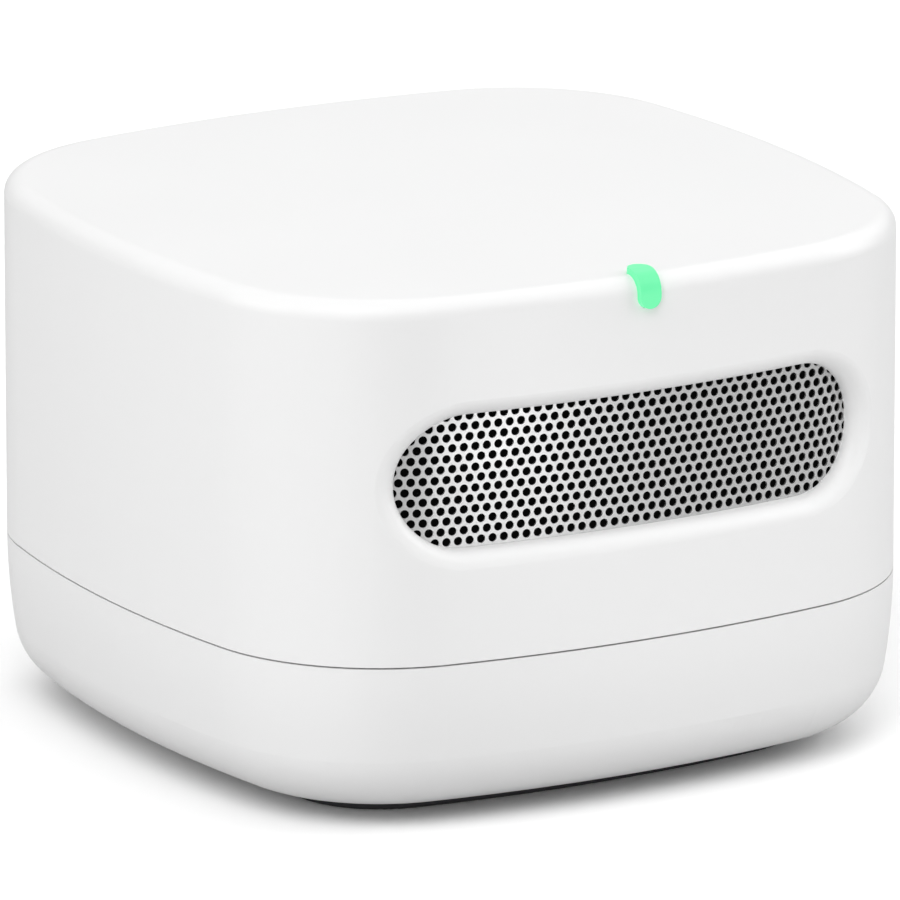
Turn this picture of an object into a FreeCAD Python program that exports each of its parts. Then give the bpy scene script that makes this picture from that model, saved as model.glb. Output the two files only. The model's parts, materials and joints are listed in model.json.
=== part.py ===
import FreeCAD, Part
import Sketcher
import math
import os
import re

# Compact air quality monitor: a rounded square box with a perforated window
# at the front and at the back, a light pipe over the front top edge and a
# micro USB socket low at the back.  Origin: centre of the foot's underside,
# +Z up, the lit front faces -Y, +X to the right.  Millimetres.

V = FreeCAD.Vector
doc = FreeCAD.newDocument("AirMonitor")

SIZES = {
    # casing: plan outline of four long arcs joined by four corner arcs
    "casing_width": 65.0, "side_radius": 111.0, "corner_radius": 16.2,
    "casing_top": 44.7, "seam_z": 14.4, "seam_gap": 0.15, "base_z": 1.3,
    "rim_radius": 1.5, "wall": 1.8, "ceiling_z": 43.25, "outer_inset": 0.0, "cavity_inset": 1.8,
    # lower shell: a long gentle arc, then a foot arc that ends flat
    "base_side_radius": 50.5, "base_foot_radius": 5.82, "floor_overlap": 2.0,
    "floor_inset": 7.4, "ledge_outer_inset": 1.2, "lip_outer_inset": 1.9,
    "lip_inner_inset": 2.7, "ledge_low_z": 11.8, "lip_top_z": 15.6,
    # foot
    "foot_inset": 8.0, "foot_recess_inset": 7.9, "foot_recess": 0.6, "foot_edge_radius": 0.4,
    # air windows and what closes them, layer by layer from the wall inwards
    "window_length": 42.5, "window_height": 11.3, "window_z": 29.15, "window_rim": 1.4,
    "mesh_inset": 1.8, "mesh_back_inset": 1.95, "filter_back_inset": 2.7, "retainer_back_inset": 3.3,
    "sheet_length": 45.6, "sheet_height": 14.1, "retainer_length": 45.4, "retainer_height": 13.9,
    "retainer_hole_length": 43.0, "retainer_hole_height": 11.5,
    "hole_pitch": 1.0, "row_pitch": 0.866, "hole_radius": 0.36, "hole_rows": 6,
    "middle_row_z": 29.3, "hole_margin": 0.7,
    # light pipe over the front top edge
    "pipe_width": 1.9, "pipe_low_z": 42.14, "pipe_back": 2.45, "pipe_proud": 0.5,
    "pipe_edge_radius": 1.8, "pipe_gap": 0.05, "pipe_foot_width": 3.6, "pipe_foot_depth": 3.4,
    "pipe_foot_height": 1.1,
    # button at the back
    "button_radius": 2.5, "button_gap": 0.12, "button_z": 18.8, "button_recess": 0.1,
    "button_flange_radius": 3.0, "button_flange_y": 29.7, "button_flange_thick": 0.8,
    "button_stem_radius": 1.0, "button_stem_end": 27.4, "plunger_radius": 0.9,
    "plunger_end": 26.4, "plunger_gap": 0.1, "switch_front": 26.9, "switch_size": 4.2,
    "switch_bore_end": 25.9, "button_board_y": 23.2, "button_board_thick": 1.0,
    "button_board_width": 16.0, "button_board_low": 15.0, "button_board_high": 21.0,
    # USB socket
    "usb_z": 8.6, "usb_pocket_width": 12.0, "usb_pocket_height": 7.0, "usb_pocket_floor": 28.0,
    "usb_pocket_wall": 1.2, "usb_block_back": 26.8, "usb_block_front": 30.8, "usb_mouth_radius": 0.4,
    "usb_width": 7.5, "usb_height": 2.8, "usb_sheet": 0.3, "usb_depth": 5.4, "usb_chamfer": 0.95,
    "usb_gap": 0.1, "tongue_width": 3.6, "tongue_height": 0.6, "tongue_length": 3.6,
    # main board in the lower shell
    "board_length": 50.0, "board_depth": 47.0, "board_y": 2.8, "board_low": 5.95,
    "board_thick": 1.2, "board_corner": 6.0,
    "boss_radius": 2.8, "boss_pitch": 37.0, "post_radius": 2.6, "screw_radius": 1.0,
    "screw_hole": 1.15, "screw_head_radius": 1.9, "screw_head_height": 1.3, "screw_tip_z": 12.6,
    "head_pocket_radius": 2.05, "head_pocket_top": 3.3, "board_screw_x": 12.0,
    "board_screw_y": 20.5, "board_screw_radius": 0.8, "board_screw_head": 1.5,
    "board_screw_head_height": 1.0, "standoff_radius": 2.1,
    # chassis plate screwed up into the upper shell
    "chassis_inset": 2.9, "chassis_low": 15.9, "chassis_thick": 1.8, "column_radius": 2.5,
    "column_pitch": 45.6, "chassis_screw_length": 9.0, "notch_width": 20.0, "tab_width": 18.0,
    "tab_thick": 2.0, "cable_slot_x": 22.6, "cable_slot_width": 2.0, "cable_slot_length": 10.0,
    # sensor board under the lid of the casing
    "sensor_board_low": 39.9, "sensor_board_thick": 1.0, "sensor_board_width": 38.0,
    "sensor_board_front": 29.4, "sensor_board_corner": 4.0, "sensor_board_depth": 46.0,
    "sensor_boss_x": 14.0,
    "sensor_boss_front": 18.0, "sensor_boss_back": 12.0, "sensor_boss_radius": 2.0,
    "led_y": 28.3, "led_length": 2.0, "led_width": 1.2, "led_height": 0.7,
    # particle sensor
    "pm_width": 38.0, "pm_depth": 38.0, "pm_y": -2.0, "pm_height": 18.0, "pm_lid_height": 2.6,
    "pm_axis_height": 9.7,
    "pm_wall": 1.2, "pm_edge": 1.5, "inlet_x": -9.0, "inlet_width": 10.0, "inlet_height": 5.6,
    "duct_wall": 2.0, "inlet_duct_end": 28.6, "outlet_duct_end": 27.6, "duct_skin": 0.6,
    "fan_x": 8.0, "fan_radius": 5.6, "fan_gap": 0.35,
    "fan_ring": 0.8, "fan_depth": 4.0, "fan_y": 11.0, "hub_radius": 2.4, "shaft_radius": 0.6,
    "shaft_gap": 0.04, "blade_thick": 0.7, "blade_count": 7, "blade_pitch": 35.0,
    "stator_depth": 1.6, "stator_step": 0.3, "spider_width": 1.0, "spider_overlap": 0.4,
    "blade_clearance": 0.35, "blade_root": 1.68, "blade_chord": 3.2,
    # lead-ins, overlaps and margins shared by several parts
    "overcut": 1.0, "thread_tail": 2.4,
    "sensor_screw_tail": 1.6, "frame_head_radius": 1.7,
    # light pipe shroud
    "shroud_depth": 3.2, "shroud_height": 0.8, "shroud_hole_length": 2.4,
    "shroud_hole_depth": 1.7,
    # round parts on the boards
    "capacitor_radius": 1.8, "capacitor_height": 4.4, "cell_radius": 6.0, "cell_height": 6.6,
    "collar_radius": 6.6, "collar_height": 1.2, "cell_cap_radius": 3.6, "cell_cap_height": 0.7,
    "cell_x": -12.0, "cell_y": -9.0, "antenna_lift": 1.2,
    "laser_x": -13.0, "barrel_radius": 2.6, "barrel_length": 2.4, "barrel_y": -2.9,
    "lens_radius": 1.6, "lens_length": 0.6,
    # contacts and tongue of the socket
    "contact_width": 0.3, "contact_length": 2.8, "contact_height": 0.1, "contact_pitch": 0.65,
    "tongue_base": 1.2, "tongue_lift": 0.2,
    # flat cable between the boards
    "cable_thick": 0.3, "cable_width": 8.0, "cable_end_x": 18.5, "connector_height": 2.0,
    "cable_drop": 1.2,
    # openings in the chassis plate
    "air_length": 16.0, "air_depth": 5.0, "air_x": -12.0, "air_y": -25.0,
}

# box-shaped parts: length, depth, height and the place of the centre
BLOCKS = {
    "wifi_board": (15.0, 18.0, 0.8, 7.0, -12.6),
    "rf_can": (12.4, 11.4, 1.8, 7.0, -10.2),
    "antenna_plate": (14.0, 0.4, 4.0, -1.5, -24.4),
    "antenna_feed": (1.2, 0.4, 1.4, -5.5, -24.4),
    "antenna_ground": (1.2, 0.4, 1.4, -7.9, -24.4),
    "processor": (9.0, 9.0, 1.0, 0.0, 3.0),
    "inductor": (5.0, 5.0, 2.6, 17.0, 6.5),
    "voc_chip": (3.0, 3.0, 0.9, -6.0, -26.5),
    "humidity_chip": (2.5, 2.5, 0.9, 6.0, -26.5),
    "lower_connector": (3.0, 9.0, 2.0, 22.1, 0.0),
    "upper_connector": (3.0, 9.0, 1.6, 17.0, 0.0),
    "pm_board": (22.0, 15.0, 1.0, -6.0, -2.0),
    "laser_block": (8.0, 9.0, 7.0, -13.0, 4.0),
    "detector": (5.0, 4.0, 1.4, -13.0, -7.5),
}
for block_name, numbers in BLOCKS.items():
    for part_name, number in zip(("length", "depth", "height", "x", "y"), numbers):
        SIZES[f"{block_name}_{part_name}"] = number

sheet = doc.addObject("Spreadsheet::Sheet", "Sizes")
for row, (alias, number) in enumerate(SIZES.items(), start=1):
    sheet.set(f"A{row}", alias)
    sheet.set(f"B{row}", str(number))
    sheet.setAlias(f"B{row}", alias)
doc.recompute()

NODES = []


# ---------------------------------------------------------------- helpers

def size(alias):
    """One driving dimension, as a number."""
    return float(sheet.get(alias))


def expression(text):
    """Turn plain dimension names into references to the sheet."""
    return re.sub(r"[a-z][a-z_]+", lambda m: "Sizes." + m[0] if m[0] in SIZES else m[0], text)


def bind(obj, **formulas):
    """Bind properties to formulas; a double underscore stands for a dot."""
    for name, formula in formulas.items():
        obj.setExpression(name.replace("__", "."), expression(formula))


def node(obj, label):
    """Register an object as a finished sub-part of the assembly."""
    obj.Label = label
    NODES.append(obj)
    return obj


def body(name):
    return doc.addObject("PartDesign::Body", name)


def origin_item(owner, role):
    return next(item for item in owner.Origin.OriginFeatures if item.Role == role)


def sketch(owner, name, role, x="0", y="0", normal="0"):
    """A sketch on one of the body's own origin planes, moved by formulas."""
    made = owner.newObject("Sketcher::SketchObject", name)
    made.AttachmentSupport = [(origin_item(owner, role), "")]
    made.MapMode = "FlatFace"
    bind(made, AttachmentOffset__Base__x=x, AttachmentOffset__Base__y=y,
         AttachmentOffset__Base__z=normal)
    return made


def dimension(made, name, formula, *refs):
    """A named driving constraint bound to the sheet."""
    index = made.addConstraint(Sketcher.Constraint(*refs))
    made.renameConstraint(index, name)
    made.setExpression("Constraints." + name, expression(formula))


def circle(made, radius, name="radius"):
    """A circle about the sketch's origin."""
    index = made.addGeometry(Part.Circle(V(0, 0, 0), V(0, 0, 1), 1.0))
    made.addConstraint(Sketcher.Constraint("Coincident", index, 3, -1, 1))
    dimension(made, name, radius, "Radius", index, 1.0)


def rectangle(made, width, height, name="side"):
    """A rectangle centred on the sketch's origin."""
    corners = [V(-1, -1, 0), V(1, -1, 0), V(1, 1, 0), V(-1, 1, 0)]
    lines = [made.addGeometry(Part.LineSegment(corners[i], corners[(i + 1) % 4]))
             for i in range(4)]
    for i in range(4):
        made.addConstraint(Sketcher.Constraint("Coincident", lines[i], 2, lines[(i + 1) % 4], 1))
        made.addConstraint(Sketcher.Constraint("Vertical" if i % 2 else "Horizontal", lines[i]))
    made.addConstraint(Sketcher.Constraint("Symmetric", lines[0], 1, lines[1], 2, -1, 1))
    dimension(made, name + "_x", width, "DistanceX", lines[0], 1, lines[0], 2, 2.0)
    dimension(made, name + "_y", height, "DistanceY", lines[1], 1, lines[1], 2, 2.0)


def stadium(made, length, height, name="slot"):
    """A slot lying along the sketch's x axis; both arguments name one size."""
    half = (size(length) - size(height)) / 2
    radius = size(height) / 2
    up, down = V(0, radius, 0), V(0, -radius, 0)
    left, right = V(-half, 0, 0), V(half, 0, 0)
    low = made.addGeometry(Part.LineSegment(left + down, right + down))
    end = made.addGeometry(Part.ArcOfCircle(Part.Circle(right, V(0, 0, 1), radius),
                                            -math.pi / 2, math.pi / 2))
    top = made.addGeometry(Part.LineSegment(right + up, left + up))
    start = made.addGeometry(Part.ArcOfCircle(Part.Circle(left, V(0, 0, 1), radius),
                                              math.pi / 2, 3 * math.pi / 2))
    for first, second in ((low, end), (end, top), (top, start), (start, low)):
        made.addConstraint(Sketcher.Constraint("Tangent", first, 2, second, 1))
    made.addConstraint(Sketcher.Constraint("Horizontal", low))
    made.addConstraint(Sketcher.Constraint("Symmetric", end, 3, start, 3, -1, 1))
    made.addConstraint(Sketcher.Constraint("Equal", end, start))
    dimension(made, name + "_radius", height + " / 2", "Radius", end, radius)
    dimension(made, name + "_straight", length + " - " + height,
              "DistanceX", start, 3, end, 3, 2 * half)


def corner_geometry():
    """Centre offset of the corner arcs and half the angle of a side arc."""
    reach = size("side_radius") - size("casing_width") / 2
    bulge = size("side_radius") - size("corner_radius")
    centre = (-2 * reach + math.sqrt(8 * bulge ** 2 - 4 * reach ** 2)) / 4
    return centre, math.atan2(centre, centre + reach)


def outline(made, inset, name="plan"):
    """The casing's plan outline moved inwards by one named size."""
    centre, half_angle = corner_geometry()
    reach = size("side_radius") - size("casing_width") / 2
    arcs = []
    for quarter in range(4):
        turn = quarter * math.pi / 2
        spin = FreeCAD.Rotation(V(0, 0, 1), math.degrees(turn))
        side = Part.Circle(spin.multVec(V(-reach, 0, 0)), V(0, 0, 1),
                           size("side_radius") - size(inset))
        corner = Part.Circle(spin.multVec(V(centre, centre, 0)), V(0, 0, 1),
                             size("corner_radius") - size(inset))
        arcs.append(made.addGeometry(Part.ArcOfCircle(side, turn - half_angle, turn + half_angle)))
        arcs.append(made.addGeometry(Part.ArcOfCircle(
            corner, turn + half_angle, turn + math.pi / 2 - half_angle)))
    for i in range(8):
        made.addConstraint(Sketcher.Constraint("Tangent", arcs[i], 2, arcs[(i + 1) % 8], 1))
    for quarter in range(4):
        side, corner = arcs[2 * quarter], arcs[2 * quarter + 1]
        axis = -2 if quarter % 2 else -1
        made.addConstraint(Sketcher.Constraint("PointOnObject", side, 3, axis))
        dimension(made, f"{name}_reach_{quarter}", "side_radius - casing_width / 2",
                  "Distance", -1, 1, side, 3, reach)
        dimension(made, f"{name}_side_{quarter}", "side_radius - " + inset,
                  "Radius", side, size("side_radius") - size(inset))
        dimension(made, f"{name}_corner_{quarter}", "corner_radius - " + inset,
                  "Radius", corner, size("corner_radius") - size(inset))


def inset_at(point):
    """How far a point lies inside the casing's plan outline."""
    centre, half_angle = corner_geometry()
    across, out = sorted((abs(point.x), abs(point.y)))
    reach = size("side_radius") - size("casing_width") / 2
    if math.atan2(across, out + reach) <= half_angle:
        return size("side_radius") - math.hypot(across, out + reach)
    return size("corner_radius") - math.hypot(across - centre, out - centre)


def pad(owner, profile, length, reverse=False):
    made = owner.newObject("PartDesign::Pad", "Pad")
    made.Profile = profile
    made.Reversed = reverse
    bind(made, Length=length)
    doc.recompute()
    return made


def pocket(owner, profile, length, reverse=False):
    """Cut a blind pocket and make sure that it took material away."""
    before = owner.Tip.Shape.Volume
    made = owner.newObject("PartDesign::Pocket", "Pocket")
    made.Profile = profile
    made.Reversed = reverse
    bind(made, Length=length)
    doc.recompute()
    if not made.Shape.Volume < before - 1e-6:
        raise RuntimeError(f"{owner.Name}: {made.Name} cuts nothing")
    return made


def four_corners(owner, features):
    """Repeat features at the four corners by quarter turns about Z."""
    made = owner.newObject("PartDesign::PolarPattern", "Corners")
    made.Originals = features
    made.Axis = (origin_item(owner, "Z_Axis"), [""])
    made.Occurrences = 4
    owner.Tip = made
    doc.recompute()
    return made


def edge_names(shape, test):
    """Names of the edges whose middle point passes the test."""
    names = []
    for number, edge in enumerate(shape.Edges, start=1):
        middle = edge.valueAt((edge.FirstParameter + edge.LastParameter) / 2)
        if test(middle, edge):
            names.append(f"Edge{number}")
    return names


def fillet(owner, radius, test):
    base = owner.Tip
    names = edge_names(base.Shape, test)
    made = owner.newObject("PartDesign::Fillet", "Fillet")
    made.Base = (base, names)
    bind(made, Radius=radius)
    doc.recompute()
    return made


def box(name, length, depth, height, x="0", y="0", z="0"):
    """A block centred on x and y that stands on z."""
    made = doc.addObject("Part::Box", name)
    bind(made, Length=length, Width=depth, Height=height,
         Placement__Base__x=f"{x} - ({length}) / 2",
         Placement__Base__y=f"{y} - ({depth}) / 2",
         Placement__Base__z=z)
    return made


def block(alias, z):
    """One of the listed box-shaped parts, standing on z."""
    return box(alias.title().replace("_", ""), f"{alias}_length", f"{alias}_depth",
               f"{alias}_height", x=f"{alias}_x", y=f"{alias}_y", z=z)


AXES = {"z": (V(1, 0, 0), 0), "y": (V(1, 0, 0), -90), "x": (V(0, 1, 0), 90)}


def cylinder(name, radius, height, x="0", y="0", z="0", axis="z"):
    """A cylinder that starts at the given point and runs along an axis."""
    made = doc.addObject("Part::Cylinder", name)
    made.Placement = FreeCAD.Placement(V(0, 0, 0), FreeCAD.Rotation(*AXES[axis]))
    bind(made, Radius=radius, Height=height, Placement__Base__x=x,
         Placement__Base__y=y, Placement__Base__z=z)
    return made


def fuse(name, pieces):
    made = doc.addObject("Part::MultiFuse", name)
    made.Shapes = pieces
    return made


def cut(name, base, tools):
    made = doc.addObject("Part::Cut", name)
    made.Base = base
    made.Tool = tools[0] if len(tools) == 1 else fuse(name + "Tools", tools)
    return made


def common(name, first, second):
    made = doc.addObject("Part::Common", name)
    made.Base = first
    made.Tool = second
    return made


def compound(name, pieces):
    """Separate solids that share one node."""
    made = doc.addObject("Part::Compound", name)
    made.Links = pieces
    return made


# ------------------------------------------------------------ upper shell

def upper_shell():
    shell = body("UpperShell")
    plan = sketch(shell, "Plan", "XY_Plane", normal="seam_z")
    outline(plan, "outer_inset")
    pad(shell, plan, "casing_top - seam_z")
    top = size("casing_top")
    fillet(shell, "rim_radius", lambda p, e: abs(p.z - top) < 1e-6)

    cavity = sketch(shell, "Cavity", "XY_Plane", normal="seam_z")
    outline(cavity, "cavity_inset")
    pocket(shell, cavity, "ceiling_z - seam_z", reverse=True)

    for side, offset in (("Front", "casing_width / 2 - 8"), ("Rear", "8 - casing_width / 2")):
        window = sketch(shell, side + "Window", "XZ_Plane", y="window_z", normal=offset)
        stadium(window, "window_length", "window_height")
        pocket(shell, window, "10", reverse=side == "Front")
    reach = size("window_length") / 2 + 0.1
    low = size("window_z") - size("window_height") / 2 - 0.1
    high = size("window_z") + size("window_height") / 2 + 0.1
    fillet(shell, "window_rim",
           lambda p, e: abs(p.x) < reach and low < p.z < high and abs(inset_at(p)) < 0.01)

    hole = sketch(shell, "ButtonHole", "XZ_Plane", y="button_z", normal="8 - casing_width / 2")
    circle(hole, "button_radius + button_gap")
    pocket(shell, hole, "10")

    # slot for the light pipe: down the front wall and back along the top
    front_slot = sketch(shell, "PipeFrontSlot", "XZ_Plane",
                        y="pipe_low_z + (casing_top - pipe_low_z) / 2 + 1",
                        normal="casing_width / 2 - wall - 0.1")
    pipe_profile(front_slot, "pipe_width / 2 + pipe_gap", "casing_top - pipe_low_z + 2 + pipe_gap * 2")
    pocket(shell, front_slot, "4", reverse=True)
    top_slot = sketch(shell, "PipeTopSlot", "XY_Plane",
                      y="pipe_back / 2 - casing_width / 2 - 1", normal="ceiling_z - 0.05")
    pipe_profile(top_slot, "pipe_width / 2 + pipe_gap", "pipe_back + 2 + pipe_gap * 2", flip=True)
    pocket(shell, top_slot, "4", reverse=True)

    # screw columns in the corners and short bosses for the sensor board
    column = sketch(shell, "Column", "XY_Plane", x="column_pitch / 2", y="column_pitch / 2",
                    normal="chassis_low + chassis_thick")
    circle(column, "column_radius")
    columns = [pad(shell, column, "ceiling_z - chassis_low - chassis_thick + 0.5")]
    pilot = sketch(shell, "ColumnPilot", "XY_Plane", x="column_pitch / 2", y="column_pitch / 2",
                   normal="chassis_low")
    circle(pilot, "screw_radius")
    columns.append(pocket(shell, pilot, "chassis_screw_length + 1", reverse=True))
    four_corners(shell, columns)
    for number, (x, y) in enumerate(SENSOR_BOSSES):
        boss = sketch(shell, f"SensorBoss{number}", "XY_Plane", x=x, y=y,
                      normal="sensor_board_low + sensor_board_thick")
        circle(boss, "sensor_boss_radius")
        pad(shell, boss, "ceiling_z - sensor_board_low - sensor_board_thick + 0.5")
        thread = sketch(shell, f"SensorThread{number}", "XY_Plane", x=x, y=y,
                        normal="sensor_board_low")
        circle(thread, "board_screw_radius")
        pocket(shell, thread, "sensor_board_thick + thread_tail", reverse=True)
    node(shell, "upper_shell")


SENSOR_BOSSES = (("sensor_boss_x", "-sensor_boss_front"), ("-sensor_boss_x", "-sensor_boss_front"),
                 ("0", "sensor_boss_back"))


def pipe_profile(made, half_width, length, flip=False):
    """A strip along the sketch's y axis with one round end, centred lengthwise."""
    sign = -1 if flip else 1
    half, reach = 1.0, 2.0
    left, right = V(-half, 0, 0), V(half, 0, 0)
    square, rounded = V(0, sign * reach, 0), V(0, -sign * (reach - half), 0)
    flat = made.addGeometry(Part.LineSegment(left + square, right + square))
    one = made.addGeometry(Part.LineSegment(right + square, right + rounded))
    two = made.addGeometry(Part.LineSegment(left + rounded, left + square))
    ends = (0, math.pi) if flip else (math.pi, 2 * math.pi)
    tip = made.addGeometry(Part.ArcOfCircle(Part.Circle(rounded, V(0, 0, 1), half), *ends))
    tip_right, tip_left = (1, 2) if flip else (2, 1)
    made.addConstraint(Sketcher.Constraint("Coincident", flat, 2, one, 1))
    made.addConstraint(Sketcher.Constraint("Tangent", one, 2, tip, tip_right))
    made.addConstraint(Sketcher.Constraint("Tangent", two, 1, tip, tip_left))
    made.addConstraint(Sketcher.Constraint("Coincident", two, 2, flat, 1))
    made.addConstraint(Sketcher.Constraint("Horizontal", flat))
    made.addConstraint(Sketcher.Constraint("Vertical", one))
    made.addConstraint(Sketcher.Constraint("Vertical", two))
    made.addConstraint(Sketcher.Constraint("PointOnObject", tip, 3, -2))
    dimension(made, "half_width", half_width, "Radius", tip, half)
    straight = f"{length} - ({half_width})"
    dimension(made, "straight", straight, "DistanceY",
              *((flat, 2, one, 2) if flip else (one, 2, flat, 2)), 3.0)
    offset = f"({length}) / 2"
    dimension(made, "end", offset, "DistanceY",
              *((flat, 2, -1, 1) if flip else (-1, 1, flat, 2)), reach)


# ------------------------------------------------------------ lower shell

def lower_shell():
    shell = body("LowerShell")
    path = sketch(shell, "WallPath", "XY_Plane", normal="seam_z - seam_gap")
    outline(path, "outer_inset")
    section = sketch(shell, "WallSection", "XZ_Plane", x="casing_width / 2",
                     y="seam_z - seam_gap")
    wall_section(section)
    doc.recompute()
    wall = shell.newObject("PartDesign::AdditivePipe", "Wall")
    wall.Profile = section
    wall.Spine = (path, [])
    doc.recompute()
    shell.Tip = wall

    floor = sketch(shell, "Floor", "XY_Plane", normal="base_z")
    outline(floor, "floor_inset")
    pad(shell, floor, "wall")
    for name, outer, low, high in (
            ("Ledge", "ledge_outer_inset", "ledge_low_z", "seam_z - seam_gap"),
            ("Lip", "lip_outer_inset", "seam_z - seam_gap - 1", "lip_top_z")):
        ring = sketch(shell, name, "XY_Plane", normal=low)
        outline(ring, outer, "outer")
        outline(ring, "lip_inner_inset", "inner")
        pad(shell, ring, f"{high} - ({low})")

    recess = sketch(shell, "FootRecess", "XY_Plane", normal="base_z")
    outline(recess, "foot_recess_inset")
    pocket(shell, recess, "foot_recess", reverse=True)

    # plug pocket with its own walls, and the opening for the socket
    block = sketch(shell, "PlugBlock", "XZ_Plane", y="usb_z", normal="-usb_block_back")
    rectangle(block, "usb_pocket_width + 2 * usb_pocket_wall",
              "usb_pocket_height + 2 * usb_pocket_wall")
    pad(shell, block, "usb_block_front - usb_block_back", reverse=True)
    plug = sketch(shell, "PlugPocket", "XZ_Plane", y="usb_z", normal="-usb_pocket_floor")
    stadium(plug, "usb_pocket_width", "usb_pocket_height")
    pocket(shell, plug, "casing_width / 2 - usb_pocket_floor + 1")
    back = size("casing_width") / 2 - 1.2
    fillet(shell, "usb_mouth_radius", lambda p, e: p.y > back and abs(p.x) < 6.1
           and 4.9 < p.z < 12.3)
    socket = sketch(shell, "SocketOpening", "XZ_Plane", y="usb_z", normal="-usb_block_back + 1")
    rectangle(socket, "usb_width + 2 * usb_gap", "usb_height + 2 * usb_gap")
    pocket(shell, socket, "usb_pocket_floor - usb_block_back + 2")

    # bosses for the base screws, and standoffs for the board screws
    at_corner = {"x": "boss_pitch / 2", "y": "boss_pitch / 2"}
    boss = sketch(shell, "Boss", "XY_Plane", normal="base_z + foot_recess + 0.4", **at_corner)
    circle(boss, "boss_radius")
    features = [pad(shell, boss, "board_low - base_z - foot_recess - 0.4")]
    head = sketch(shell, "ScrewHead", "XY_Plane", normal="base_z", **at_corner)
    circle(head, "head_pocket_radius")
    features.append(pocket(shell, head, "head_pocket_top - base_z", reverse=True))
    hole = sketch(shell, "ScrewHole", "XY_Plane", normal="base_z", **at_corner)
    circle(hole, "screw_hole")
    features.append(pocket(shell, hole, "board_low - base_z + 1", reverse=True))
    four_corners(shell, features)
    for side, x in (("Left", "-board_screw_x"), ("Right", "board_screw_x")):
        standoff = sketch(shell, side + "Standoff", "XY_Plane", x=x, y="board_screw_y",
                          normal="base_z + wall - 0.5")
        circle(standoff, "standoff_radius")
        pad(shell, standoff, "board_low - base_z - wall + 0.5")
        thread = sketch(shell, side + "Thread", "XY_Plane", x=x, y="board_screw_y",
                        normal="base_z + wall")
        circle(thread, "board_screw_radius")
        pocket(shell, thread, "board_low - base_z - wall + 1", reverse=True)
    node(shell, "lower_shell")


def wall_section(made):
    """Wall section below the seam: outer arcs, the same arcs moved in by the
    wall, and a short run of floor.  Its origin is the outer edge at the seam."""
    drop = size("seam_z") - size("seam_gap") - size("base_z")
    side, foot, wall = size("base_side_radius"), size("base_foot_radius"), size("wall")
    flat = side - math.sqrt((side - foot) ** 2 - (drop - foot) ** 2)
    tangent = math.atan2(drop - foot, side - flat)
    end = flat + size("floor_overlap")
    side_centre, foot_centre = V(-side, 0, 0), V(-flat, foot - drop, 0)

    def arc(centre, radius, start, stop):
        return made.addGeometry(Part.ArcOfCircle(Part.Circle(centre, V(0, 0, 1), radius),
                                                 start, stop))

    outer_side = arc(side_centre, side, -tangent, 0)
    outer_foot = arc(foot_centre, foot, -math.pi / 2, -tangent)
    inner_side = arc(side_centre, side - wall, -tangent, 0)
    inner_foot = arc(foot_centre, foot - wall, -math.pi / 2, -tangent)
    top = made.addGeometry(Part.LineSegment(V(0, 0, 0), V(-wall, 0, 0)))
    bottom = made.addGeometry(Part.LineSegment(V(-flat, -drop, 0), V(-end, -drop, 0)))
    close = made.addGeometry(Part.LineSegment(V(-end, -drop, 0), V(-end, wall - drop, 0)))
    above = made.addGeometry(Part.LineSegment(V(-end, wall - drop, 0), V(-flat, wall - drop, 0)))

    join = [("Coincident", top, 1, -1, 1), ("Coincident", outer_side, 2, top, 1),
            ("Coincident", inner_side, 2, top, 2), ("Horizontal", top),
            ("PointOnObject", outer_side, 3, -1), ("Coincident", inner_side, 3, outer_side, 3),
            ("Tangent", outer_foot, 2, outer_side, 1), ("Tangent", inner_foot, 2, inner_side, 1),
            ("Coincident", inner_foot, 3, outer_foot, 3),
            ("Tangent", bottom, 1, outer_foot, 1), ("Horizontal", bottom),
            ("Coincident", bottom, 2, close, 1), ("Vertical", close),
            ("Coincident", close, 2, above, 1), ("Horizontal", above),
            ("Tangent", above, 2, inner_foot, 1)]
    for item in join:
        made.addConstraint(Sketcher.Constraint(*item))
    dimension(made, "side_radius", "base_side_radius", "Radius", outer_side, side)
    dimension(made, "foot_radius", "base_foot_radius", "Radius", outer_foot, foot)
    dimension(made, "wall", "wall", "DistanceX", top, 2, top, 1, wall)
    dimension(made, "drop", "seam_z - seam_gap - base_z", "DistanceY", bottom, 1, -1, 1, drop)
    dimension(made, "overlap", "floor_overlap", "DistanceX", bottom, 2, bottom, 1,
              size("floor_overlap"))


def foot_pad():
    foot = body("FootPad")
    plan = sketch(foot, "Plan", "XY_Plane")
    outline(plan, "foot_inset")
    pad(foot, plan, "base_z + foot_recess")
    fillet(foot, "foot_edge_radius", lambda p, e: abs(p.z) < 1e-6)
    node(foot, "foot_pad")


# -------------------------------------------------- grilles and filters

def wall_ring(name, outer, inner, length, height):
    """A closed ring between two insets of the outline, at window height."""
    ring = body(name)
    plan = sketch(ring, "Plan", "XY_Plane", normal=f"window_z - ({height}) / 2 - 1")
    outline(plan, outer, "outer")
    outline(plan, inner, "inner")
    pad(ring, plan, f"{height} + 2")
    return ring


def window_prism(name, length, height, inner=None):
    """A stadium block through the front wall, with a stadium hole if asked."""
    prism = body(name)
    face = sketch(prism, "Face", "XZ_Plane", y="window_z", normal="18")
    stadium(face, length, height)
    pad(prism, face, "20")
    if inner:
        hole = sketch(prism, "Hole", "XZ_Plane", y="window_z", normal="18")
        stadium(hole, *inner)
        pocket(prism, hole, "20", reverse=True)
    return prism


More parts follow.
